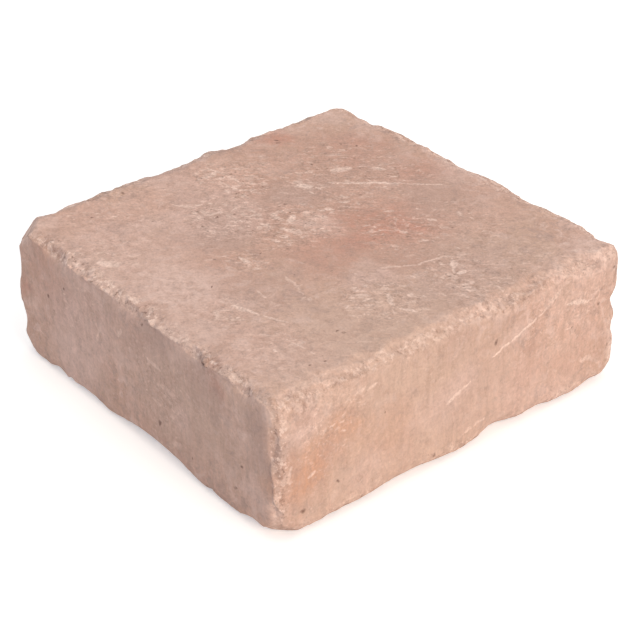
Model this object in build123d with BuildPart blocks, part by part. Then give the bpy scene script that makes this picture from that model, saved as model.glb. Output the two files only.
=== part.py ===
from build123d import *
import os
import random
from math import sqrt

# Tumbled concrete paving stone: one pressed block whose arrises and corners were knocked off in a drum.
# The origin is the middle of the bed face, and +Z points up through the wearing face.

# Block, in millimetres
length = 170.0  # along X, from joint face to joint face
width = 170.0  # along Y, from joint face to joint face
thickness = 60.0  # from bed face to wearing face
upright_radius = 4.9  # rounding of the four upright corners, in plan
arris_radius = 4.4  # rounding of the bed and top arrises
flank_run = 1.45  # a flank facet at a corner runs this many reaches along one edge
flank_rise = 0.5  # and this many along the other two

# Spalls on the edges that aren't in view
spall_pitch = 26.0  # mean distance from one spall to the next
spall_span = (18.0, 48.0)  # shortest and longest, measured along the edge
spall_reach = (3.6, 6.2)  # narrowest and widest, measured over either face
edge_margin = 16.0  # length at each end of an edge that its corner takes
drum_seed = 5  # another number gives other wear

# Outward directions of the six faces
left = Vector(-1, 0, 0)
right = Vector(1, 0, 0)
front = Vector(0, -1, 0)
back = Vector(0, 1, 0)
bed = Vector(0, 0, -1)
top = Vector(0, 0, 1)

# Corners knocked off: the three faces, and how far the middle facet reaches back from each of them
knocks = [
    ((left, front, top), (17.0, 15.0, 15.0)),
    ((left, back, top), (11.0, 11.0, 10.0)),
    ((right, back, top), (7.0, 9.0, 8.0)),
    ((right, front, top), (7.0, 7.0, 7.0)),
    ((left, front, bed), (12.0, 10.0, 12.0)),
    ((left, back, bed), (12.0, 9.0, 10.0)),
    ((right, back, bed), (10.0, 12.0, 11.0)),
    ((right, front, bed), (15.0, 14.0, 12.0)),
]

# Spalls in view: the two faces, then for each spall its place along the edge as a share from the middle,
# its span along the edge, and its reach over the first face and over the second
spalls = [
    (bed, front, [(-0.34, 16, 4.4, 4.5), (-0.21, 44, 3.8, 4.2), (0.05, 76, 5.4, 6.5), (0.42, 26, 5.0, 5.0)]),
    (bed, right, [(-0.14, 60, 5.0, 5.2), (0.13, 30, 6.5, 7.6), (0.24, 32, 4.5, 5.0), (0.43, 24, 4.8, 4.8)]),
    (top, left, [(-0.31, 42, 6.4, 5.0), (-0.15, 30, 5.4, 4.6), (0.0, 22, 6.4, 4.8), (0.33, 50, 5.0, 4.4)]),
    (top, back, [(-0.38, 40, 6.6, 5.0), (-0.03, 34, 5.2, 4.6), (0.2, 28, 5.4, 4.4), (0.42, 26, 4.6, 4.4)]),
    (top, front, [(-0.31, 30, 5.0, 5.4), (-0.02, 46, 4.8, 5.0), (0.23, 22, 4.8, 4.6), (0.40, 18, 5.0, 4.8)]),
    (top, right, [(-0.38, 42, 6.8, 5.0), (-0.05, 24, 5.0, 5.0), (0.11, 16, 4.6, 4.8), (0.26, 34, 5.6, 5.0)]),
    (right, back, [(0.10, 13, 5.8, 5.0), (-0.1, 14, 4.4, 4.4)]),
    (left, front, [(0.24, 34, 5.0, 6.0), (-0.22, 18, 4.8, 5.4)]),
    (front, right, [(0.22, 26, 5.0, 5.2), (-0.28, 16, 4.6, 4.6)]),
]
hidden_edges = [(bed, back), (bed, left), (back, left)]

middle = Vector(0, 0, thickness / 2)
half_size = Vector(length / 2, width / 2, thickness / 2)


def out_to(*faces):
    """The point where the faces meet: the middle of an edge for two, a corner for three."""
    point = middle
    for face in faces:
        point += face * abs(face.dot(half_size))
    return point


def edge_run(first, second):
    """The length of the edge between two faces."""
    return 2 * abs(first.cross(second).dot(half_size))


def facet(faces, reaches):
    """Cuts a corner off along the plane that meets its three edges at these reaches."""
    normal = sum((face / reach for face, reach in zip(faces, reaches)), Vector(0, 0, 0))
    split(bisect_by=Plane(origin=out_to(*faces) - faces[0] * reaches[0], z_dir=normal), keep=Keep.BOTTOM)


def knock(faces, reaches):
    """Rounds a corner off with one middle facet and a flank facet along each of its edges."""
    facet(faces, reaches)
    for flank in range(3):
        facet(faces, [reach * (flank_run if i == flank else flank_rise) for i, reach in enumerate(reaches)])


def spall(first, second, at, span, over_first, over_second):
    """Scoops a shell-shaped spall, part of a ball, out of the edge between two faces."""
    along = Vector(*(abs(step) for step in first.cross(second)))
    chord = sqrt(over_first**2 + over_second**2)
    stand_off = (span / 2) ** 2 * chord / (2 * over_first * over_second)
    ball_radius = sqrt(stand_off**2 + (chord / 2) ** 2)
    edge_point = out_to(first, second) + along * (at * edge_run(first, second))
    chord_middle = edge_point - (second * over_first + first * over_second) / 2
    outward = (first * over_first + second * over_second) / chord
    with Locations(chord_middle + outward * stand_off):
        Sphere(ball_radius, mode=Mode.SUBTRACT)


with BuildPart() as paving_stone:
    Box(length, width, thickness, align=(Align.CENTER, Align.CENTER, Align.MIN))
    fillet(paving_stone.edges().filter_by(Axis.Z), radius=upright_radius)
    levels = paving_stone.faces().filter_by(Axis.Z)
    fillet(levels.edges(), radius=arris_radius)
    for faces, reaches in knocks:
        knock(faces, reaches)

    for first, second, places in spalls:
        for at, span, over_first, over_second in places:
            spall(first, second, at, span, over_first, over_second)

    drum = random.Random(drum_seed)
    for first, second in hidden_edges:
        run = edge_run(first, second)
        for step in range(round((run - 2 * edge_margin) / spall_pitch)):
            at = (edge_margin + (step + drum.random()) * spall_pitch) / run - 0.5
            reaches = drum.uniform(*spall_reach), drum.uniform(*spall_reach)
            spall(first, second, at, drum.uniform(*spall_span), *reaches)

paving_stone.part.label = "paving_stone"

os.makedirs("parts", exist_ok=True)
export_step(paving_stone.part, "parts/paving_stone.step")
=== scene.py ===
import bpy
import bmesh
import math
import random
import numpy as np
from mathutils import Matrix, Vector, noise


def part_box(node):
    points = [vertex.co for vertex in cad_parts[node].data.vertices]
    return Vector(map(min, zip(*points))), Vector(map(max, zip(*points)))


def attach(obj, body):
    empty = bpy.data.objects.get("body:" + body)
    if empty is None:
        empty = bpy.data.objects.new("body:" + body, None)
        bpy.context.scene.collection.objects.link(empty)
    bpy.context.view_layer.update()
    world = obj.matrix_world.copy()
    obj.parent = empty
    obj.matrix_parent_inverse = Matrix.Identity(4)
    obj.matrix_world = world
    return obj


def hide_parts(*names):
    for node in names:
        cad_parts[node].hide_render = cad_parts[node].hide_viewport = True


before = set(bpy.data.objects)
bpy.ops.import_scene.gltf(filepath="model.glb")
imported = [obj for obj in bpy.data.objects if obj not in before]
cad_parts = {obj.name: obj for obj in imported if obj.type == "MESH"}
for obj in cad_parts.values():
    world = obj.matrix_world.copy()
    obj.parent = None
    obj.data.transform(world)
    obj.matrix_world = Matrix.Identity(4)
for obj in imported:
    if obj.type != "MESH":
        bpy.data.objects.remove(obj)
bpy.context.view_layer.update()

mm = 0.001  # sizes below are in mm, and Blender's are in metres
low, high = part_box("paving_stone")
half = np.array((high - low) / 2) / mm  # half the stone's length, width and thickness


def linearColour(code):
    # sRGB hex to the linear RGBA that a socket takes
    channels = [int(code[i:i + 2], 16) / 255 for i in (1, 3, 5)]
    return [c / 12.92 if c <= 0.04045 else ((c + 0.055) / 1.055) ** 2.4 for c in channels] + [1.0]


def emptyTree(owner):
    owner.use_nodes = True
    owner.node_tree.nodes.clear()
    return owner.node_tree


def addNode(tree, kind, links=None, **settings):
    # one node: settings are its properties, links are socket -> value, node or output
    made = tree.nodes.new("ShaderNode" + kind)
    for name, value in settings.items():
        setattr(made, name, value)
    for socket, source in (links or {}).items():
        if isinstance(source, bpy.types.Node):
            source = next(output for output in source.outputs if output.enabled)
        if isinstance(source, bpy.types.NodeSocket):
            tree.links.new(source, made.inputs[socket])
        else:
            made.inputs[socket].default_value = source
    return made


# The block's shape: the CAD solid on an even grid, finer towards the arrises, then worn, crumbled and chipped.
# Sizes are in mm.
block = {
    "mergeWithin": 0.002,        # joins the CAD mesh's loose triangles
    "grid": 2.0,                 # between points on the flat faces
    "bandWidth": 8.0,            # each side of every arris, where the grid is twice as fine
    "lipWidth": 4.2,             # each side of the top and upright arrises, where it is four times as fine
    "faceWave": 0.2,             # the long swell that the mould left
    "faceWaveSize": 42.0,
    "frontBevel": (5.2, 1.9),    # how far the worn bevel reaches over the top, and down the front and back faces
    "sideBevel": (6.5, 3.4),     # the same for the right and left faces
    "uprightBevel": (1.5, 4.4),  # how far it reaches over the front and back, and over the right and left
    "bevelDrift": 0.64,          # how much those vary along an arris, as a share
    "bevelDriftSize": (11.0, 13.0),
    "proud": 1.0,                # how far a bevel's sharp edge may stand out from the CAD's rounding
    "bedFade": (7.0, 16.0),      # height above the bed over which the bevel comes in
    "cornerFade": (5.0, 18.0),   # distance from a corner over which it comes in
    "farFade": (8.0, 14.0),      # distance from the upright arrises out of view
    "deepest": 1.5,
    "crumbBand": (2.5, 8.0),     # distance from an arris over which the broken band fades out
    "crumbDrift": 3.0,           # how far that band's edge wanders
    "crumbDriftSize": 9.0,
    "crumbPatch": 12.0,
    "lumpBand": (1.5, 7.0),      # distance from an arris over which the lumps fade out
    "lumpSize": 3.6,             # uneven wear of the bevel
    "lumpDepth": 0.2,
    "grainSize": 1.9,            # stone chips and paste that stand out of a broken arris
    "grainDepth": 0.2,
    "grainShake": 1.2,           # how far the grains are from an even net
    "grainShakeSize": 2.6,
    "chipCount": 320,            # small bites along the arrises
    "chipRadius": (0.9, 4.0),
    "chipBite": (0.15, 0.6),
    "chipRagged": 2.0,           # size of the bumps on a chip's wall
    "farChip": 0.4,              # size of the chips that lie away from the two arrises nearest the eye, as a share
    "chipDice": 11,              # another number gives other chips
}

# notches and holes seen on the arrises: place, radius, how deep they bite
notches = [
    ((-80, -49, 60), 3.4, 2.3),
    ((74, 84, 60), 3.2, 2.0),
    ((-49, -84, 1.5), 3.0, 1.6),
    ((45, -84, 2.0), 2.6, 1.8),
    ((84, -16, 1.0), 2.4, 1.4),
]
holes = [
    ((45.2, -84, 58.4), 1.6, 2.2),
    ((46.4, -84, 57.0), 1.0, 1.6),
    ((6.8, -84.5, 55.4), 0.8, 0.8),
    ((83.5, 68, 59.2), 0.8, 0.9),
    ((83.8, 15.6, 59.4), 0.9, 0.9),
    ((84.2, 11.0, 58.8), 0.7, 0.8),
    ((82.5, -37.5, 59.8), 0.8, 0.8),
]


def smoothStep(start, end, value):
    share = np.clip((value - start) / (end - start), 0, 1)
    return share * share * (3 - 2 * share)


def swell(points, size, octaves, seed):
    # smooth noise, about -1 to 1, with features of this size
    shift = Vector((seed * 7.31, seed * 3.17, seed * 5.77))
    return np.array([noise.fractal(Vector(p) / size + shift, 1.0, 2.0, octaves) for p in points])


def grains(points, size, seed):
    # domes one grain wide: 1 on a grain's crown, 0 in the joints between grains
    shift = Vector((seed * 4.13, seed * 2.71, seed * 9.1))
    crown = []
    for p in points:
        near, far = noise.voronoi(Vector(p) / size + shift)[0][:2]
        crown.append(min(1.0, (far - near) * 1.6))
    return np.array(crown)


def insets(points):
    # distance in from each pair of faces: right and left, front and back, top and bed
    return np.stack([half[i] - np.abs(points[:, i] - (half[2] if i == 2 else 0)) for i in range(3)], axis=1)


def readPoints(work):
    return np.array([v.co[:] for v in work.verts]) / mm, np.array([v.normal[:] for v in work.verts])


def splitNear(work, chosen):
    edges = [e for e in work.edges if chosen[e.verts[0].index] and chosen[e.verts[1].index]]
    bmesh.ops.subdivide_edges(work, edges=edges, cuts=1, use_grid_fill=True)
    work.verts.index_update()


def gridBlock():
    # the CAD mesh, merged and laid on an even grid
    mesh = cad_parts["paving_stone"].data.copy()
    work = bmesh.new()
    work.from_mesh(mesh)
    bmesh.ops.remove_doubles(work, verts=work.verts, dist=block["mergeWithin"] * mm)
    work.to_mesh(mesh)
    work.free()
    stone = bpy.data.objects.new("tumbledBlock", mesh)
    bpy.context.scene.collection.objects.link(stone)

    remesh = stone.modifiers.new("evenGrid", "REMESH")
    remesh.mode = "VOXEL"
    remesh.voxel_size = block["grid"] * mm
    graph = bpy.context.evaluated_depsgraph_get()
    stone.data = bpy.data.meshes.new_from_object(stone.evaluated_get(graph))
    stone.modifiers.clear()
    return stone


def splitArrises(fine):
    # the grid is split near every arris, its steps are smoothed, and the top and upright arrises are split once more
    points, normals = readPoints(fine)
    splitNear(fine, np.sort(insets(points), axis=1)[:, 1] < block["bandWidth"])
    bmesh.ops.smooth_vert(fine, verts=fine.verts, factor=0.5, use_axis_x=True, use_axis_y=True, use_axis_z=True)
    points, normals = readPoints(fine)
    inset = insets(points)
    lip = np.sort(inset, axis=1)[:, 1] < block["lipWidth"]
    splitNear(fine, lip & ((points[:, 2] > half[2]) | (inset[:, 2] > 8)))
    fine.normal_update()


def wornBevel(points, normals):
    # how far in each point goes, so that the CAD's even rounding becomes a flat, wandering bevel with a crisp
    # lower edge
    inset = insets(points)
    lean = np.abs(normals)
    proud, drift = block["proud"], block["bevelDrift"]
    overSize, downSize = block["bevelDriftSize"]
    depth = np.full(len(points), -9.0)
    bevels = ((1, 2, block["frontBevel"], 8), (0, 2, block["sideBevel"], 12), (0, 1, block["uprightBevel"], 16))
    for first, second, reach, seed in bevels:
        over = reach[0] * np.clip(1 + drift * swell(points, overSize, 3, seed), 0.35, 2)
        down = reach[1] * np.clip(1 + drift * swell(points, downSize, 4, seed + 1), 0.35, 2)
        lack = 1 - inset[:, first] / over - inset[:, second] / down
        slope = lean[:, first] / over + lean[:, second] / down
        depth = np.maximum(depth, lack / np.maximum(slope, 0.15))
    # a spall lies well under the bevel, and stays as the CAD has it; so do the corners and the bed
    depth = np.where(depth < -proud, -proud * smoothStep(-2.2 * proud, -proud, depth), depth)
    offBed = smoothStep(*block["bedFade"], points[:, 2])
    offCorner = smoothStep(*block["cornerFade"], inset.max(axis=1))
    depth *= np.where(depth < 0, offBed * offCorner, 0.35 + 0.65 * offBed)
    farSide = (points[:, 0] < 0) | (points[:, 1] > 0)
    farUpright = (1 - smoothStep(*block["farFade"], inset[:, :2].max(axis=1))) * farSide
    depth *= np.where(depth < 0, 1 - 0.75 * farUpright, 1.0)
    flat = np.min(inset / np.maximum(lean, 0.05), axis=1)
    return np.minimum(np.maximum(depth, -flat), block["deepest"])


def bite(points, middle, outward, radius, deep, ragged, reach=9.0):
    # presses every point inside a ragged ball out to its wall, and says how deep inside each one was
    close = np.nonzero(np.linalg.norm(points - middle, axis=1) < reach)[0]
    if len(close) == 0:
        return close, close
    skin = (points[close] - middle) @ outward
    side = np.linalg.norm(points[close] - middle - skin[:, None] * outward, axis=1)
    surface = skin[side < max(1.0, side.min() * 1.2)].max()
    centre = middle + outward * (surface + radius - deep)
    local = points[close] - centre
    span = np.linalg.norm(local, axis=1)
    wall = radius * (1 + 0.1 * ragged[close])
    inside = span < wall
    moved = centre + local * (wall / np.maximum(span, 1e-6))[:, None]
    points[close[inside]] = moved[inside]
    return close[inside], (wall - span)[inside]


def chipArrises(points, ragged):
    # small bites along the arrises; says how freshly broken each point is
    dice = random.Random(block["chipDice"])
    leastRadius, mostRadius = block["chipRadius"]
    leastBite, mostBite = block["chipBite"]
    fresh = np.zeros(len(points))
    for _ in range(block["chipCount"]):
        axis = dice.choice((0, 0, 1, 1, 2))
        sides = [dice.choice((-1, 1)) for _ in range(3)]
        arris = np.array([half[i] * sides[i] for i in range(3)])
        arris[axis] = half[axis] * dice.uniform(-0.97, 0.97)
        arris[2] += half[2]
        outward = np.array([sides[i] if i != axis else dice.uniform(-0.5, 0.5) for i in range(3)])
        outward *= [dice.uniform(0.4, 1.0) for _ in range(3)]
        outward /= np.linalg.norm(outward)
        size = dice.random() ** 2  # mostly small
        if arris[2] < half[2] * 1.9 or (sides[0] < 0 and axis == 1) or (sides[1] > 0 and axis == 0):
            size *= block["farChip"]
        radius = leastRadius + size * (mostRadius - leastRadius)
        deep = leastBite + size * (mostBite - leastBite)
        hit, inside = bite(points, arris, outward, radius, deep, ragged)
        fresh[hit] = np.maximum(fresh[hit], smoothStep(0.0, 0.5, inside))
    return fresh


def cutHoles(points, ragged, hollowShade):
    # the notches and holes in view, of which the holes get painted shade inside
    for place, radius, deep in notches + holes:
        middle = np.array(place, float)
        outward = np.array([place[i] / half[i] if abs(place[i]) > half[i] - 6 else 0.0 for i in range(2)] + [0.0])
        outward[2] = 1.0 if place[2] > 52 else -1.0 if place[2] < 8 else 0.0
        outward /= np.linalg.norm(outward)
        hit, inside = bite(points, middle, outward, radius, deep, ragged, 6.0)
        if (place, radius, deep) in holes:
            hollowShade[hit] = np.maximum(hollowShade[hit], smoothStep(0.0, 0.9, inside) * 1.2)


def buildBlock():
    stone = gridBlock()
    fine = bmesh.new()
    fine.from_mesh(stone.data)
    splitArrises(fine)
    points, normals = readPoints(fine)
    print("block grid", len(fine.verts), "points", sum(len(f.verts) - 2 for f in fine.faces), "triangles")

    inset = insets(points)
    reach = np.sort(inset, axis=1)[:, 1]  # distance from the nearest arris
    near = 1 - smoothStep(*block["lumpBand"], reach)
    depth = wornBevel(points, normals)
    depth += block["faceWave"] * (0.6 + 0.6 * swell(points, block["faceWaveSize"], 2, 3))
    depth += block["lumpDepth"] * near * np.clip(0.15 + swell(points, block["lumpSize"], 3, 4), 0, 1)

    # the broken band is patchy, and narrower on the front and back
    narrow = 1 + 1.4 * smoothStep(-1.6, -0.4, -inset[:, 1])
    wander = block["crumbDrift"] * swell(points, block["crumbDriftSize"], 3, 1)
    band = 1 - smoothStep(*block["crumbBand"], reach * narrow + wander)
    patchy = smoothStep(-0.35, 0.35, swell(points, block["crumbPatch"], 3, 2))
    rough = band * (0.3 + 0.7 * patchy)
    # painted shade: less chalk on the right-hand arris of the top, where the key light makes the bevel bright
    chalkyWithPaintedShade = band * (1 - 0.35 * smoothStep(70.0, 76.0, points[:, 0]) * smoothStep(48.0, 54.0, points[:, 2]))

    crown = np.ones(len(points))
    inBand = np.nonzero(band > 0.02)[0]
    shake = np.stack([swell(points, block["grainShakeSize"], 2, seed) for seed in (21, 22, 23)], axis=1)
    shaken = (points + block["grainShake"] * shake)[inBand]
    crown[inBand] = 0.6 * grains(shaken, block["grainSize"], 5) + 0.4 * grains(shaken, block["grainSize"] / 2, 6)
    # painted shade in the hollows between grains
    hollowShade = rough * (1 - crown)
    depth += block["grainDepth"] * rough * (1 - crown)
    points -= normals * depth[:, None]

    ragged = swell(points, block["chipRagged"], 2, 7)
    fresh = chipArrises(points, ragged)
    cutHoles(points, ragged, hollowShade)

    for vert, place in zip(fine.verts, points * mm):
        vert.co = place
    fine.to_mesh(stone.data)
    fine.free()
    stone.data.polygons.foreach_set("use_smooth", [True] * len(stone.data.polygons))
    for name, values in (("arrisWearWithPaintedShade", chalkyWithPaintedShade), ("hollowShade", hollowShade), ("freshBreak", fresh)):
        layer = stone.data.attributes.new(name, "FLOAT", "POINT")
        layer.data.foreach_set("value", values.astype(np.float32))
    stone.data.update()
    return stone


# Dry-pressed concrete, coloured in the mix with iron oxide and tumbled: matt, with cloudy pigment, sand grain,
# pale marks where stones rubbed, and chalky broken arrises. Sizes are in mm.
concrete = {
    "tan": "#CEAC99",
    "pink": "#D1AC9B",
    "brown": "#C49E8D",
    "terracotta": "#C4917F",
    "lilac": "#D4B4A7",
    "pale": "#DEC0B3",
    "grey": "#CAAC9C",
    "dun": "#BD9F92",
    "orange": "#CC9677",
    "rust": "#BF7D62",
    "sandy": "#CFB19F",
    "cream": "#F0D4C5",          # scuffs, flecks and broken paste
    # painted shade for the pits, holes and hollows between grains, and the colour of the brown lumps
    "shadow": "#6E5045",         # pits, and joints between grains
    "roughness": 0.93,
    "ior": 1.5,
    "specular": 0.3,
    "sandShade": 0.12,           # how much lighter and darker each of these makes it, as a share
    "mottleShade": 0.21,
    "brushedShade": (-0.05, 0.06),
    "dragShade": (-0.075, 0.06),
    "freshPale": 0.2,
    "fleckPale": 1.0,
    "darkest": 0.75,
    "gritStrength": 0.7,
    "gritDepth": 0.3,
    "cloudSize": 34.0,           # pigment that didn't mix evenly
    "patchSize": 15.0,
    "blotchSize": 7.0,
    "sandSize": 1.0,             # sand is 0.3 to 0.8 mm; drawn a little coarser so that it shows
    "mottleSize": 3.2,           # paste between the coarser grains
    "raggedSize": 1.9,           # one coarse grain, which breaks up the edge of a mark
    "lumpSize": 2.6,             # lumps of paste and stone in a broken arris
    "streak": (6.5, 1.5, 1.5),   # how far the scraper drew a grain out
    "streakTurn": 50.0,          # degrees
    "brushed": (5.5, 1.3, 1.3),
    "brushedTurn": 52.0,
    "drag": (1.5, 1.5, 17.0),    # upright, along the mould's wall
    "bend": 22.0,                # how far the clouds are bent
    "bendSize": 13.0,
    "shake": 3.4,                # how far the marks' edges quiver
    "shakeSize": 4.0,
    "pitCell": 7.0,              # between places that may have a pit
    "speckCell": 2.2,
    "stainDrift": 5.0,           # how far a stain's edge wanders
    "stainDriftSize": 13.0,
    "hiddenRubbed": 0.4,         # how rubbed the faces out of view are, in patches
    "hiddenPatch": 26.0,
}

# clouds of pigment: face, middle, radius, colour, strength
stains = [
    ("top", (-16, 18), 74, "brown", 0.75),
    ("top", (-34, -66), 42, "lilac", 0.5),
    ("top", (36, -66), 40, "lilac", 0.45),
    ("top", (-80, -12), 24, "lilac", 0.45),
    ("top", (-42, 58), 17, "terracotta", 0.6),
    ("top", (-12, 67), 17, "terracotta", 0.4),
    ("top", (-30, 60), 16, "dun", 0.4),
    ("top", (4, 60), 18, "dun", 0.5),
    ("top", (28, 62), 14, "dun", 0.35),
    ("top", (16, 22), 25, "terracotta", 0.65),
    ("top", (21, 24), 12, "terracotta", 0.6),
    ("top", (17, -6), 17, "terracotta", 0.35),
    ("top", (-23, -28), 17, "dun", 0.8),
    ("top", (-53, 46), 16, "brown", 0.95),
    ("top", (12, 46), 12, "dun", 0.4),
    ("top", (-29, 14), 14, "dun", 0.75),
    ("top", (-31, -8), 10, "dun", 0.5),
    ("top", (-2, 6), 12, "pale", 0.45),
    ("top", (33, 16), 15, "brown", 0.9),
    ("top", (-74, 40), 9, "terracotta", 0.8),
    ("top", (-62, 8), 17, "pink", 0.5),
    ("top", (-40, -19), 25, "lilac", 0.7),
    ("top", (41, -4), 13, "lilac", 0.8),
    ("top", (-62, -40), 16, "pink", 0.6),
    ("top", (-68, -19), 12, "pale", 0.4),
    ("top", (-45, -46), 10, "pale", 0.35),
    ("top", (2, -63), 19, "pale", 0.85),
    ("top", (68, -66), 18, "pale", 0.4),
    ("top", (24, -44), 20, "dun", 0.35),
    ("top", (-72, -66), 16, "pink", 0.5),
    ("top", (60, 40), 34, "grey", 0.45),
    ("top", (64, 26), 30, "dun", 0.4),
    ("top", (68, 8), 14, "dun", 0.5),
    ("top", (66, -24), 30, "grey", 0.6),
    ("top", (36, 64), 15, "pink", 0.6),
    ("top", (79, 72), 12, "pale", 0.5),
    ("top", (-77, 70), 9, "pale", 0.6),
    ("top", (-30, -20), 13, "dun", 0.5),
    ("top", (-38, 60), 14, "brown", 0.6),
    ("top", (-31, 29), 9, "dun", 0.4),
    ("top", (-46, 2), 9, "brown", 0.4),
    ("top", (61, -1), 8, "dun", 0.6),
    ("top", (0, 78), 14, "pale", 0.5),
    ("top", (-60, 78), 10, "pale", 0.5),
    ("top", (-79, 47), 9, "pale", 0.5),
    ("top", (76, -46), 11, "pale", 0.45),
    ("top", (-76, -76), 10, "pale", 0.6),
    ("top", (28, -78), 16, "pale", 0.55),
    ("top", (-24, -79), 30, "pale", 0.3),
    ("right", (-30, 22), 62, "sandy", 0.85),
    ("right", (-83, 34), 6, "rust", 0.9),
    ("right", (-72, 27), 15, "orange", 0.65),
    ("right", (-55, 37), 12, "orange", 0.5),
    ("right", (-34, 25), 18, "orange", 0.2),
    ("right", (0, 28), 15, "lilac", 0.5),
    ("right", (30, 14), 20, "pale", 0.5),
    ("right", (52, 10), 12, "pale", 0.4),
    ("right", (0, 51), 11, "dun", 0.4),
    ("right", (-73, 48), 10, "lilac", 0.5),
    ("right", (8, 26), 20, "grey", 0.5),
    ("right", (-14, 27), 12, "pale", 0.35),
    ("right", (36, 23), 13, "pink", 0.5),
    ("right", (62, 32), 20, "pink", 0.5),
    ("right", (45, 54), 16, "pink", 0.4),
    ("right", (-76, 42), 7, "pale", 0.6),
    ("right", (-60, 30), 8, "brown", 0.4),
    ("right", (0, 30), 9, "pale", 0.5),
    ("right", (30, 42), 7, "pale", 0.7),
    ("right", (60, 52), 18, "pale", 0.35),
    ("right", (-45, 14), 12, "pale", 0.4),
    ("right", (76, 19), 9, "brown", 0.45),
    ("front", (82, 38), 13, "dun", 0.9),
    ("front", (53, 54), 6, "terracotta", 0.7),
    ("front", (-60, 54), 14, "brown", 0.6),
    ("front", (-78, 34), 10, "terracotta", 0.5),
    ("front", (-42, 26), 26, "lilac", 0.75),
    ("front", (26, 30), 34, "grey", 0.8),
    ("front", (14, 54), 12, "dun", 0.6),
    ("front", (46, 50), 13, "dun", 0.5),
    ("front", (64, 26), 14, "dun", 0.3),
    ("front", (64, 42), 12, "pale", 0.3),
    ("front", (-72, 26), 7, "pale", 0.4),
    ("front", (-45, 11), 17, "pale", 0.65),
    ("front", (-38, 24), 20, "pale", 0.3),
    ("front", (77, 19), 8, "pale", 0.6),
    ("front", (30, 25), 8, "pale", 0.5),
    ("front", (0, 43), 9, "dun", 0.55),
    ("front", (-15, 52), 9, "dun", 0.5),
    ("front", (77, 46), 9, "dun", 0.6),
    ("front", (-62, 42), 20, "terracotta", 0.15),
]

# places that other stones rubbed most in the drum: face, middle, radius, strength
rubbedPlaces = [
    ("top", (-28, 38), 36, 0.6),
    ("top", (-9, -2), 22, 1.0),
    ("top", (-54, 4), 20, 0.95),
    ("top", (-32, -17), 20, 0.9),
    ("top", (20, 28), 20, 0.6),
    ("top", (62, 22), 22, 0.7),
    ("top", (56, -11), 18, 0.75),
    ("top", (2, -33), 10, 0.6),
    ("top", (26, -56), 14, 0.5),
    ("top", (34, 50), 22, 0.35),
    ("top", (68, 44), 16, 0.45),
    ("top", (-62, -45), 26, 0.3),
    ("top", (-38, -70), 18, 0.35),
    ("top", (52, -62), 20, 0.25),
    ("right", (58, 44), 22, 0.5),
    ("right", (-62, 46), 18, 0.4),
    ("front", (16, 34), 20, 0.3),
    ("front", (-30, 36), 16, 0.25),
]

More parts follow.
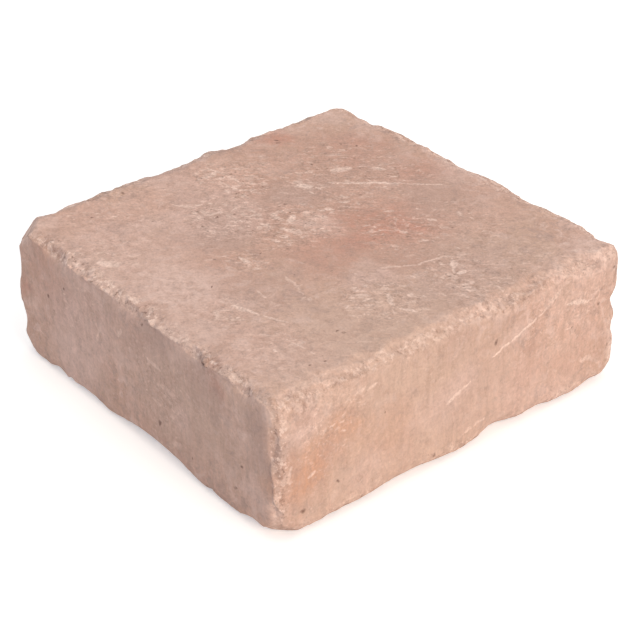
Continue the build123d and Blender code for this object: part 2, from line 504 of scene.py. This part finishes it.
# long scuffs: face, start, end, half width, strength
scuffs = [
    ("top", (-25, 33), (-9, 52), 0.6, 0.9),
    ("top", (-9, 52), (4, 64.5), 0.45, 0.7),
    ("top", (-69.9, 1.0), (-60, 3.4), 0.6, 0.7),
    ("top", (-60, 3.4), (-50, 3.2), 0.5, 0.6),
    ("top", (-57, -2.2), (-50, -1.6), 0.5, 0.6),
    ("top", (24, -56.1), (35, -52.7), 0.8, 0.75),
    ("top", (35, -52.7), (46.7, -47.8), 0.45, 0.75),
    ("top", (53.9, -55.1), (68, -53.2), 0.45, 0.6),
    ("top", (-34.6, 39), (-31.6, 45.4), 1.5, 0.75),
    ("top", (-26.0, 52.6), (-22.0, 56.4), 0.9, 0.75),
    ("top", (-33.4, 20.2), (-29.8, 22.4), 1.5, 0.95),
    ("top", (20.6, -28.8), (27.6, -30.1), 0.5, 0.45),
    ("top", (27.6, -30.1), (34.2, -31.6), 0.4, 0.35),
    ("top", (28.2, -31.0), (28.9, -27.4), 0.5, 0.45),
    ("top", (36.3, -32.3), (37.0, -34.8), 0.6, 0.5),
    ("top", (37.7, -30.7), (39.4, -33.0), 0.6, 0.45),
    ("top", (6.4, -27.3), (8.8, -26.8), 0.6, 0.75),
    ("top", (38.5, 3), (45, 14), 0.5, 0.6),
    ("top", (45, 14), (47.6, 28), 0.5, 0.6),
    ("top", (50, 27.4), (58, 21.4), 0.8, 0.8),
    ("top", (63.7, 15), (77.8, 17.6), 0.45, 0.6),
    ("top", (71.9, 25.6), (81.2, 27), 0.5, 0.55),
    ("top", (65.2, -10.8), (69.8, -7.6), 0.6, 0.75),
    ("top", (53.6, -7.0), (60.6, -11.6), 0.7, 0.7),
    ("top", (5.8, 32.8), (7.9, 35.2), 0.9, 0.6),
    ("top", (11.7, 32.2), (16.6, 29.2), 0.5, 0.4),
    ("top", (21.3, 26.1), (23.9, 28.0), 0.8, 0.6),
    ("top", (31.2, 28.7), (34.2, 29.1), 0.6, 0.6),
    ("top", (21.4, 41.1), (24.3, 43.2), 0.7, 0.6),
    ("top", (-14.8, 3.2), (-11.8, -1.6), 0.9, 0.8),
    ("top", (-10, -7.0), (-5.2, -6.0), 0.9, 0.7),
    ("top", (-6.0, -11.0), (-3.4, -8.4), 0.6, 0.6),
    ("top", (-2.4, -33.6), (2.4, -33.0), 0.75, 0.85),
    ("top", (-53, -28.4), (-44, -22.2), 0.6, 0.6),
    ("top", (-33.6, -76), (-27.2, -72), 1.5, 0.75),
    ("top", (23.0, -62.6), (28, -66), 0.9, 0.6),
    ("top", (24.6, 54), (27.4, 53.6), 0.8, 0.6),
    ("top", (20.6, -42.8), (28.0, -43.2), 0.5, 0.6),
    ("top", (-16.4, 26.8), (-12.8, 28.8), 0.6, 0.6),
    ("right", (18.4, 37.8), (42, 46.8), 0.55, 1.0),
    ("right", (42, 46.8), (51.5, 53.9), 0.7, 0.5),
    ("right", (-6, 26.4), (5.7, 31.3), 0.5, 0.9),
    ("right", (55.5, 45), (68, 42), 0.7, 0.9),
    ("right", (64.5, 16.4), (70.5, 14.8), 0.8, 0.6),
    ("right", (4.4, 9.6), (13.5, 11.8), 0.6, 0.6),
    ("right", (-79.6, 26.4), (-77.4, 31.6), 0.7, 0.6),
    ("right", (-49.2, 49.4), (-45, 51.2), 0.6, 0.6),
    ("right", (-43.4, 49.4), (-39.6, 50.2), 0.7, 0.6),
    ("right", (-70.4, 24.4), (-67.6, 25.4), 0.6, 0.6),
    ("front", (8.4, 41.8), (17.2, 41.2), 0.7, 0.55),
    ("front", (-26, 32.4), (-21.4, 41.3), 0.6, 0.4),
    ("front", (-9.7, 42.6), (-7.3, 45.9), 0.7, 0.5),
    ("front", (16, 33.6), (26, 34.6), 0.8, 0.35),
    ("front", (11, 24.8), (19.6, 25.6), 0.6, 0.35),
    ("front", (23, 11.6), (28.6, 13.2), 0.8, 0.45),
]

# pits where a grain fell out, painted dark as their shade: face, place, radius
pits = [
    ("top", (-69.5, 37.4), 1.1), ("top", (-71.8, 38.8), 0.8), ("top", (-44.6, 36.4), 0.6),
    ("top", (-45.6, 60.8), 0.8), ("top", (-24.2, 6.4), 0.75), ("top", (61.6, -37.6), 0.6),
    ("top", (63.9, -37.0), 0.6), ("top", (71.8, -58.8), 0.7), ("top", (71.4, -52.2), 0.7),
    ("top", (73.8, -53.6), 0.6), ("top", (-74.4, -38.2), 0.9), ("top", (-64.8, -58.8), 0.6),
    ("top", (-33.4, -20.8), 0.6), ("top", (-46.6, -42.2), 0.6), ("top", (8.4, -54.2), 0.5),
    ("top", (-51.2, 57.2), 0.6), ("top", (-17.4, 53.6), 0.6), ("top", (83.0, 57.4), 0.9),
    ("right", (-57.2, 16.2), 0.7), ("right", (-73.6, 10.8), 1.2), ("right", (-11.6, 6.2), 1.0),
    ("right", (18, 43.4), 1.0), ("right", (72.6, 38.6), 1.1), ("right", (58, 33.4), 0.7),
    ("right", (79.6, 52.2), 1.1), ("right", (36.8, 40), 0.5), ("right", (68.6, 26.6), 0.5),
    ("right", (-35.6, 36), 0.5), ("front", (35.5, 11.6), 0.6), ("front", (15.4, 16.2), 1.3),
    ("front", (61.8, 13.2), 1.0), ("front", (65.8, 25.2), 0.7), ("front", (-46.2, 45.6), 0.7),
    ("front", (82.8, 16.6), 0.7), ("front", (-59.2, 36.6), 0.8), ("front", (45.2, 57.8), 1.5),
    ("front", (47.4, 57.4), 0.8), ("front", (7.0, 55.6), 0.8), ("front", (50.2, 58.6), 0.6),
    ("top", (32.2, 43.9), 0.7),
]

# short pale marks where other stones rubbed: turn in degrees, cell length and width, and strength
flecks = [
    (50, 6.5, 2.3, 1.0),
    (22, 5.0, 2.2, 1.0),
    (84, 5.0, 2.2, 1.0),
    (0, 4.0, 3.2, 0.8),
]


def onFace(face, place):
    # a point given on a face, as a point of the block
    across, along = place
    if face == "top":
        return Vector((across, along, 2 * half[2]))
    if face == "right":
        return Vector((half[0], across, along))
    return Vector((across, -half[1], along))


def stainBlock(stone):
    # the stains are wide, so they are laid on the points as a colour and a strength, with wandering edges
    points = np.array([v.co[:] for v in stone.data.vertices]) / mm
    drift = np.stack([swell(points, concrete["stainDriftSize"], 3, seed) for seed in (31, 32, 33)], axis=1)
    points = points + concrete["stainDrift"] * drift
    laid = np.full(len(points), 1e-3)
    tint = np.outer(laid, linearColour(concrete["tan"])[:3])
    for face, middle, radius, name, strength in stains:
        away = np.linalg.norm(points - np.array(onFace(face, middle)), axis=1)
        share = strength * smoothStep(-1.2 * radius, -0.35 * radius, -away)
        tint = tint * (1 - share)[:, None] + np.outer(share, linearColour(concrete[name])[:3])
        laid = laid * (1 - share) + share
    layer = stone.data.attributes.new("stain", "FLOAT_COLOR", "POINT")
    layer.data.foreach_set("color", np.column_stack([tint / laid[:, None], laid]).astype(np.float32).ravel())

    # the left, the back and the bed, which are out of view, are rubbed in patches of their own
    beyond = np.stack([-points[:, 0] - half[0], points[:, 1] - half[1], -points[:, 2]], axis=1).max(axis=1)
    hidden = smoothStep(0, 4, beyond + 4)
    patches = smoothStep(-0.1, 0.4, swell(points, concrete["hiddenPatch"], 3, 34))
    rubbed = concrete["hiddenRubbed"] * hidden * patches
    for face, middle, radius, strength in rubbedPlaces:
        away = np.linalg.norm(points - np.array(onFace(face, middle)), axis=1)
        rubbed = np.maximum(rubbed, strength * smoothStep(-1.2 * radius, -0.5 * radius, -away))
    layer = stone.data.attributes.new("rubbed", "FLOAT", "POINT")
    layer.data.foreach_set("value", rubbed.astype(np.float32))


def pigmentClouds(tree, warped, ragged):
    # iron oxide that didn't mix evenly, in clouds of three sizes, and then the stains in view
    colours = {name: linearColour(value) for name, value in concrete.items() if isinstance(value, str)}
    wide = addNode(tree, "TexNoise", {"Vector": warped, "Scale": 1 / concrete["cloudSize"], "Detail": 5.0,
                                      "Roughness": 0.62})
    share = addNode(tree, "MapRange", {"Value": wide, "From Min": 0.38, "From Max": 0.60})
    colour = addNode(tree, "Mix", {"Factor": share, "A": colours["tan"], "B": colours["pink"]}, data_type="RGBA")
    medium = addNode(tree, "TexNoise", {"Vector": warped, "Scale": 1 / concrete["patchSize"], "Detail": 5.0,
                                        "Roughness": 0.68, "Distortion": 0.4})
    share = addNode(tree, "MapRange", {"Value": medium, "From Min": 0.50, "From Max": 0.66, "To Max": 0.8})
    colour = addNode(tree, "Mix", {"Factor": share, "A": colour, "B": colours["brown"]}, data_type="RGBA")
    share = addNode(tree, "MapRange", {"Value": medium, "From Min": 0.46, "From Max": 0.30, "To Max": 0.8})
    colour = addNode(tree, "Mix", {"Factor": share, "A": colour, "B": colours["pale"]}, data_type="RGBA")
    blotch = addNode(tree, "TexNoise", {"Vector": warped, "Scale": 1 / concrete["blotchSize"], "Detail": 4.0,
                                        "Roughness": 0.65})
    share = addNode(tree, "MapRange", {"Value": blotch, "From Min": 0.52, "From Max": 0.64})
    colour = addNode(tree, "Mix", {"Factor": share, "A": colour, "B": colours["dun"]}, data_type="RGBA")
    share = addNode(tree, "MapRange", {"Value": blotch, "From Min": 0.46, "From Max": 0.34, "To Max": 0.9})
    colour = addNode(tree, "Mix", {"Factor": share, "A": colour, "B": colours["pale"]}, data_type="RGBA")
    spotty = addNode(tree, "MapRange", {"Value": ragged, "From Min": 0.34, "From Max": 0.58, "To Min": 0.45})
    stained = addNode(tree, "Attribute", attribute_name="stain")
    share = addNode(tree, "Math", {0: stained.outputs["Alpha"], 1: spotty}, operation="MULTIPLY")
    return addNode(tree, "Mix", {"Factor": share, "A": colour, "B": stained.outputs["Color"]}, data_type="RGBA")


def shortFlecks(tree, place, shaken, ragged, rubbedShare):
    # short flecks in clusters, most where the stone was rubbed
    patch = addNode(tree, "TexNoise", {"Vector": place, "Scale": 1 / concrete["patchSize"], "Detail": 4.0,
                                       "Roughness": 0.65})
    least = addNode(tree, "MapRange", {"Value": patch, "From Min": 0.36, "From Max": 0.64, "To Min": 1.02,
                                       "To Max": 0.78})
    least = addNode(tree, "Math", {0: rubbedShare, 1: -0.38, 2: least}, operation="MULTIPLY_ADD")
    pale = None
    for turn, length, width, strength in flecks:
        run = addNode(tree, "Mapping", {"Vector": shaken, "Rotation": (0, 0, math.radians(turn)),
                                        "Scale": (length, width, width)}, vector_type="TEXTURE")
        cells = addNode(tree, "TexVoronoi", {"Vector": run, "Scale": 1.0})
        drawn = addNode(tree, "SeparateColor", {0: cells.outputs["Color"]})
        spare = addNode(tree, "Math", {0: drawn.outputs["Red"], 1: least}, operation="SUBTRACT")
        size = addNode(tree, "MapRange", {"Value": spare, "From Max": 0.4, "To Max": 0.5})
        edge = addNode(tree, "Math", {0: ragged, 1: 0.8, 2: cells.outputs["Distance"]}, operation="MULTIPLY_ADD")
        inside = addNode(tree, "Math", {0: size, 1: edge}, operation="SUBTRACT")
        mask = addNode(tree, "MapRange", {"Value": inside, "From Min": -0.42, "From Max": -0.26,
                                          "To Max": strength})
        bright = addNode(tree, "MapRange", {"Value": drawn.outputs["Green"], "To Min": 0.4})
        there = addNode(tree, "MapRange", {"Value": spare, "From Max": 0.08})
        bright = addNode(tree, "Math", {0: bright, 1: there}, operation="MULTIPLY")
        mask = addNode(tree, "Math", {0: mask, 1: bright}, operation="MULTIPLY")
        pale = mask if pale is None else addNode(tree, "Math", {0: pale, 1: mask}, operation="MAXIMUM")
    broken = addNode(tree, "MapRange", {"Value": ragged, "From Min": 0.38, "From Max": 0.56, "To Min": 0.5})
    pale = addNode(tree, "Math", {0: pale, 1: broken}, operation="MULTIPLY")

    # faint streaks between them, drawn out by the scraper
    run = addNode(tree, "Mapping", {"Vector": shaken, "Scale": concrete["streak"],
                                    "Rotation": (0, 0, math.radians(concrete["streakTurn"]))},
                  vector_type="TEXTURE")
    streaks = addNode(tree, "TexNoise", {"Vector": run, "Scale": 1.0, "Detail": 4.0, "Roughness": 0.7})
    streaks = addNode(tree, "MapRange", {"Value": streaks, "From Min": 0.54, "From Max": 0.65})
    thick = addNode(tree, "MapRange", {"Value": least, "From Min": 0.95, "From Max": 0.5, "To Min": 0.06,
                                       "To Max": 0.8})
    streaks = addNode(tree, "Math", {0: streaks, 1: thick}, operation="MULTIPLY")
    pale = addNode(tree, "Math", {0: pale, 1: streaks}, operation="MAXIMUM")
    return addNode(tree, "Math", {0: pale, 1: concrete["fleckPale"]}, operation="MULTIPLY")


def longScuffs(tree, shaken, sand):
    # each long scuff is a thin spindle, where the distances to its two ends add up to little more than its length;
    # the sand that it rode over breaks it up
    scuffed = None
    for face, start, end, halfWidth, strength in scuffs:
        first, last = onFace(face, start), onFace(face, end)
        run = (last - first) * 1.16  # it tapers out a little past both ends
        middle = (first + last) / 2
        toFirst = addNode(tree, "VectorMath", {0: shaken, 1: middle - run / 2}, operation="DISTANCE")
        toLast = addNode(tree, "VectorMath", {0: shaken, 1: middle + run / 2}, operation="DISTANCE")
        both = addNode(tree, "Math", {0: toFirst, 1: toLast}, operation="ADD")
        rim = math.hypot(run.length, 3.6 * halfWidth)
        crest = math.hypot(run.length, 1.3 * halfWidth)
        mask = addNode(tree, "MapRange", {"Value": both, "From Min": rim, "From Max": crest, "To Max": strength})
        scuffed = mask if scuffed is None else addNode(tree, "Math", {0: scuffed, 1: mask}, operation="MAXIMUM")
    broken = addNode(tree, "MapRange", {"Value": sand, "From Min": 0.34, "From Max": 0.56, "To Min": 0.6})
    return addNode(tree, "Math", {0: scuffed, 1: broken}, operation="MULTIPLY")


def pitsAndPitShade(tree, place, shaken, ragged, rubbedShare):
    # a few small pits all over, fine specks where the stone was rubbed, and the pits in view, all with painted shade
    cells = addNode(tree, "TexVoronoi", {"Vector": shaken, "Scale": 1 / concrete["pitCell"]})
    drawn = addNode(tree, "SeparateColor", {0: cells.outputs["Color"]})
    size = addNode(tree, "MapRange", {"Value": drawn.outputs["Red"], "From Min": 0.86, "To Max": 0.09})
    inside = addNode(tree, "Math", {0: size, 1: cells.outputs["Distance"]}, operation="SUBTRACT")
    sunk = addNode(tree, "MapRange", {"Value": inside, "From Min": -0.02, "From Max": 0.05, "To Max": 0.6})
    cells = addNode(tree, "TexVoronoi", {"Vector": place, "Scale": 1 / concrete["speckCell"]})
    drawn = addNode(tree, "SeparateColor", {0: cells.outputs["Color"]})
    size = addNode(tree, "MapRange", {"Value": drawn.outputs["Red"], "From Min": 0.62, "To Max": 0.3})
    inside = addNode(tree, "Math", {0: size, 1: cells.outputs["Distance"]}, operation="SUBTRACT")
    specks = addNode(tree, "MapRange", {"Value": inside, "From Min": -0.06, "From Max": 0.06, "To Max": 0.7})
    specks = addNode(tree, "Math", {0: specks, 1: rubbedShare}, operation="MULTIPLY")
    pitShade = addNode(tree, "Math", {0: sunk, 1: specks}, operation="MAXIMUM")
    for face, middle, radius in pits:
        away = addNode(tree, "VectorMath", {0: shaken, 1: onFace(face, middle)}, operation="DISTANCE")
        away = addNode(tree, "Math", {0: ragged, 1: radius, 2: away}, operation="MULTIPLY_ADD")
        mask = addNode(tree, "MapRange", {"Value": away, "From Min": radius * 1.7, "From Max": radius * 0.9})
        pitShade = addNode(tree, "Math", {0: pitShade, 1: mask}, operation="MAXIMUM")
    return sunk, pitShade


def finishConcrete(stone):
    stainBlock(stone)
    material = bpy.data.materials.new("tumbledConcrete")
    tree = emptyTree(material)
    cream, shadow = linearColour(concrete["cream"]), linearColour(concrete["shadow"])

    # places on the block, true, drifting in wide bends, and shaken a little, and the noises that most marks share
    coords = addNode(tree, "TexCoord")
    place = addNode(tree, "VectorMath", {0: coords.outputs["Object"], "Scale": 1 / mm}, operation="SCALE")
    drift = addNode(tree, "TexNoise", {"Vector": place, "Scale": 1 / concrete["bendSize"], "Detail": 4.0,
                                       "Roughness": 0.6})
    drift = addNode(tree, "VectorMath", {0: drift.outputs["Color"], 1: (0.5, 0.5, 0.5)}, operation="SUBTRACT")
    warped = addNode(tree, "VectorMath", {0: drift, 1: [concrete["bend"]] * 3, 2: place}, operation="MULTIPLY_ADD")
    quiver = addNode(tree, "TexNoise", {"Vector": place, "Scale": 1 / concrete["shakeSize"], "Detail": 2.0})
    quiver = addNode(tree, "VectorMath", {0: quiver.outputs["Color"], 1: (0.5, 0.5, 0.5)}, operation="SUBTRACT")
    shaken = addNode(tree, "VectorMath", {0: quiver, 1: [concrete["shake"]] * 3, 2: place}, operation="MULTIPLY_ADD")
    ragged = addNode(tree, "TexNoise", {"Vector": place, "Scale": 1 / concrete["raggedSize"], "Detail": 3.0,
                                        "Roughness": 0.65})
    sand = addNode(tree, "TexNoise", {"Vector": place, "Scale": 1 / concrete["sandSize"], "Detail": 1.0,
                                      "Roughness": 0.6})
    mottle = addNode(tree, "TexNoise", {"Vector": shaken, "Scale": 1 / concrete["mottleSize"], "Detail": 4.0,
                                        "Roughness": 0.7})
    turned = addNode(tree, "SeparateXYZ", {0: coords.outputs["Normal"]})
    upright = addNode(tree, "Math", {0: turned.outputs["Z"]}, operation="ABSOLUTE")
    sideShare = addNode(tree, "MapRange", {"Value": upright, "From Min": 0.8, "From Max": 0.4})

    rubbedShare = addNode(tree, "Attribute", attribute_name="rubbed").outputs["Fac"]
    colour = pigmentClouds(tree, warped, mottle)
    pale = shortFlecks(tree, place, shaken, ragged, rubbedShare)
    scuffed = longScuffs(tree, shaken, sand)
    pale = addNode(tree, "Math", {0: pale, 1: scuffed}, operation="MAXIMUM")

    # chalky arrises: lumps of paste and stone, each with its own tone, and painted shade on the right-hand top arris
    wearAndPaintedShade = addNode(tree, "Attribute", attribute_name="arrisWearWithPaintedShade").outputs["Fac"]
    fresh = addNode(tree, "Attribute", attribute_name="freshBreak").outputs["Fac"]
    hollowShade = addNode(tree, "Attribute", attribute_name="hollowShade").outputs["Fac"]
    lumps = addNode(tree, "TexVoronoi", {"Vector": shaken, "Scale": 1 / concrete["lumpSize"]})
    lumpDrawn = addNode(tree, "SeparateColor", {0: lumps.outputs["Color"]})
    lumpPale = addNode(tree, "MapRange", {"Value": lumpDrawn.outputs["Red"], "From Min": 0.45, "From Max": 0.95,
                                          "To Min": 0.05, "To Max": 0.75})
    chalk = addNode(tree, "MapRange", {"Value": mottle, "From Min": 0.36, "From Max": 0.58, "To Min": 0.3})
    chalk = addNode(tree, "Math", {0: chalk, 1: lumpPale}, operation="MULTIPLY")
    chalk = addNode(tree, "Math", {0: chalk, 1: wearAndPaintedShade}, operation="MULTIPLY")
    crumbs = addNode(tree, "MapRange", {"Value": ragged, "From Min": 0.54, "From Max": 0.62, "To Max": 0.95})
    crumbs = addNode(tree, "Math", {0: crumbs, 1: wearAndPaintedShade}, operation="MULTIPLY")
    pale = addNode(tree, "Math", {0: pale, 1: crumbs}, operation="MAXIMUM")
    pale = addNode(tree, "Math", {0: pale, 1: chalk}, operation="MAXIMUM")
    freshShare = addNode(tree, "Math", {0: fresh, 1: concrete["freshPale"]}, operation="MULTIPLY")
    pale = addNode(tree, "Math", {0: pale, 1: freshShare}, operation="MAXIMUM")
    colour = addNode(tree, "Mix", {"Factor": pale, "A": colour, "B": cream}, data_type="RGBA")

    # painted shade in pits, in holes and in the hollows and gaps between grains, and a few brown lumps
    sunk, pitShade = pitsAndPitShade(tree, place, shaken, ragged, rubbedShare)
    crumbShade = addNode(tree, "MapRange", {"Value": hollowShade, "From Min": 0.45, "From Max": 1.1, "To Max": 0.5})
    lumpDark = addNode(tree, "MapRange", {"Value": lumpDrawn.outputs["Green"], "From Min": 0.88, "To Max": 0.4})
    lumpDark = addNode(tree, "Math", {0: lumpDark, 1: wearAndPaintedShade}, operation="MULTIPLY")
    gapShade = addNode(tree, "MapRange", {"Value": ragged, "From Min": 0.43, "From Max": 0.34, "To Max": 0.75})
    gapShade = addNode(tree, "Math", {0: gapShade, 1: wearAndPaintedShade}, operation="MULTIPLY")
    crumbShade = addNode(tree, "Math", {0: crumbShade, 1: gapShade}, operation="MAXIMUM")
    shadeAndBrownLumps = addNode(tree, "Math", {0: pitShade, 1: crumbShade}, operation="MAXIMUM")
    shadeAndBrownLumps = addNode(tree, "Math", {0: shadeAndBrownLumps, 1: lumpDark}, operation="MAXIMUM")
    shadeAndBrownLumps = addNode(tree, "Math", {0: shadeAndBrownLumps, 1: concrete["darkest"]}, operation="MULTIPLY")
    colour = addNode(tree, "Mix", {"Factor": shadeAndBrownLumps, "A": colour, "B": shadow}, data_type="RGBA")

    # sand, mottling and the scraper's brushing make it lighter and darker, most where the stone was rubbed
    sandShade = addNode(tree, "MapRange", {"Value": sand, "From Min": 0.3, "From Max": 0.7,
                                           "To Min": -concrete["sandShade"], "To Max": concrete["sandShade"]})
    mottleShade = addNode(tree, "MapRange", {"Value": mottle, "From Min": 0.3, "From Max": 0.7,
                                             "To Min": -concrete["mottleShade"],
                                             "To Max": concrete["mottleShade"]})
    brushed = addNode(tree, "Mapping", {"Vector": shaken, "Scale": concrete["brushed"],
                                        "Rotation": (0, 0, math.radians(concrete["brushedTurn"]))},
                      vector_type="TEXTURE")
    brushed = addNode(tree, "TexNoise", {"Vector": brushed, "Scale": 1.0, "Detail": 2.0, "Roughness": 0.6})
    darker, lighter = concrete["brushedShade"]
    brushedShade = addNode(tree, "MapRange", {"Value": brushed, "From Min": 0.3, "From Max": 0.7, "To Min": darker,
                                              "To Max": lighter})
    shade = addNode(tree, "Math", {0: sandShade, 1: mottleShade}, operation="ADD")
    shade = addNode(tree, "Math", {0: shade, 1: brushedShade}, operation="ADD")
    calm = addNode(tree, "MapRange", {"Value": sideShare, "To Min": 0.5, "To Max": 0.36})
    calm = addNode(tree, "Math", {0: rubbedShare, 1: 0.55, 2: calm}, operation="MULTIPLY_ADD")
    shade = addNode(tree, "Math", {0: shade, 1: calm, 2: 1.0}, operation="MULTIPLY_ADD")

    # upright drag marks that the mould left on the four sides
    drag = addNode(tree, "Mapping", {"Vector": shaken, "Scale": concrete["drag"]}, vector_type="TEXTURE")
    dragLines = addNode(tree, "TexNoise", {"Vector": drag, "Scale": 1.0, "Detail": 3.0, "Roughness": 0.6})
    darker, lighter = concrete["dragShade"]
    dragShade = addNode(tree, "MapRange", {"Value": dragLines, "From Min": 0.3, "From Max": 0.7, "To Min": darker,
                                           "To Max": lighter})
    dragShade = addNode(tree, "Math", {0: dragShade, 1: sideShare, 2: 1.0}, operation="MULTIPLY_ADD")
    shade = addNode(tree, "Math", {0: shade, 1: dragShade}, operation="MULTIPLY")
    shaded = addNode(tree, "VectorMath", {0: colour, "Scale": shade}, operation="SCALE")

    # grit you can feel: sand, mottling and sunk pits
    grit = addNode(tree, "Math", {0: sunk, 1: -2.5, 2: sand}, operation="MULTIPLY_ADD")
    grit = addNode(tree, "Math", {0: mottle, 1: 1.8, 2: grit}, operation="MULTIPLY_ADD")
    grit = addNode(tree, "Bump", {"Height": grit, "Strength": concrete["gritStrength"],
                                  "Distance": concrete["gritDepth"] * mm})

    surface = addNode(tree, "BsdfPrincipled", {"Base Color": shaded, "Roughness": concrete["roughness"],
                                               "IOR": concrete["ior"], "Specular IOR Level": concrete["specular"],
                                               "Normal": grit})
    addNode(tree, "OutputMaterial", {"Surface": surface})
    stone.data.materials.clear()
    stone.data.materials.append(material)


stone = buildBlock()
finishConcrete(stone)
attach(stone, "root")
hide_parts("paving_stone")
print("block finished")


studio = {
    "floorSize": 8.0,                  # m
    "floorColour": "#F4F3F1",
    "floorLift": 0.4,                  # for the camera alone, so that the floor reaches white
    "skyColour": "#DFE7FF",
    "skyLight": 0.505,
    "keyFrom": (0.905, 0.0, 0.423),    # from low on the right, so that the right face is the brightest
    "keySoft": 30.0,                   # degrees across
    "keyPower": 1.64,
    "keyColour": "#FFECD6",
    "topFrom": (0.0, 0.0, 1.0),
    "topSoft": 70.0,                   # a wide soft box overhead
    "topPower": 1.09,
    "topColour": "#FFF6DA",
}


def seenDirectly(tree):
    # 1 where the camera looks straight, in a mirror or through glass, and 0 for the light that falls on things
    ray = addNode(tree, "LightPath")
    direct = addNode(tree, "Math", {0: ray.outputs["Is Camera Ray"], 1: ray.outputs["Is Glossy Ray"]},
                     operation="MAXIMUM")
    return addNode(tree, "Math", {0: direct, 1: ray.outputs["Is Transmission Ray"]}, operation="MAXIMUM")


def buildStudio():
    ground = bmesh.new()
    bmesh.ops.create_grid(ground, x_segments=1, y_segments=1, size=studio["floorSize"] / 2)
    mesh = bpy.data.meshes.new("floor")
    ground.to_mesh(mesh)
    ground.free()
    floor = bpy.data.objects.new("floor", mesh)
    bpy.context.scene.collection.objects.link(floor)

    paper = bpy.data.materials.new("whitePaper")  # matt, and lifted to white where it is seen
    tree = emptyTree(paper)
    lift = addNode(tree, "Math", {0: seenDirectly(tree), 1: studio["floorLift"]}, operation="MULTIPLY")
    matt = addNode(tree, "BsdfDiffuse", {"Color": linearColour(studio["floorColour"])})
    glow = addNode(tree, "Emission", {"Color": (1, 1, 1, 1), "Strength": lift})
    both = addNode(tree, "AddShader", {0: matt, 1: glow})
    addNode(tree, "OutputMaterial", {"Surface": both})
    mesh.materials.append(paper)

    world = bpy.data.worlds.new("studio")
    bpy.context.scene.world = world
    tree = emptyTree(world)
    direct = seenDirectly(tree)
    sky = addNode(tree, "Background", {"Color": linearColour(studio["skyColour"]), "Strength": studio["skyLight"]})
    white = addNode(tree, "Background", {"Color": (1, 1, 1, 1), "Strength": 1.0})
    mixed = addNode(tree, "MixShader", {0: direct, 1: sky, 2: white})
    addNode(tree, "OutputWorld", {"Surface": mixed})

    for name in ("key", "top"):
        lamp = bpy.data.lights.new(name, "SUN")
        lamp.angle = math.radians(studio[name + "Soft"])
        lamp.energy = studio[name + "Power"]
        lamp.color = linearColour(studio[name + "Colour"])[:3]
        hung = bpy.data.objects.new(name, lamp)
        hung.location = studio[name + "From"]
        hung.rotation_euler = Vector(studio[name + "From"]).to_track_quat("Z", "Y").to_euler()
        bpy.context.scene.collection.objects.link(hung)


camera = {
    "place": (484.1, -382.2, 404.8),    # mm
    "aim": (1.65, 2.09, 19.7),          # mm, the point in the middle of the picture
    "roll": -0.85,                      # degrees
    "lens": 102.6,
    "clip": (0.01, 50),                 # m
}


def buildCamera():
    lens = bpy.data.cameras.new("camera")
    lens.lens = camera["lens"]
    lens.clip_start, lens.clip_end = camera["clip"]
    eye = bpy.data.objects.new("camera", lens)
    place, aim = Vector(camera["place"]) * mm, Vector(camera["aim"]) * mm
    level = (aim - place).to_track_quat("-Z", "Y").to_matrix()
    rolled = level @ Matrix.Rotation(math.radians(camera["roll"]), 3, "Z")
    eye.matrix_world = Matrix.Translation(place) @ rolled.to_4x4()
    bpy.context.scene.collection.objects.link(eye)
    bpy.context.scene.camera = eye


buildStudio()
buildCamera()
bpy.context.scene.view_settings.view_transform = "Standard"
print("studio finished")
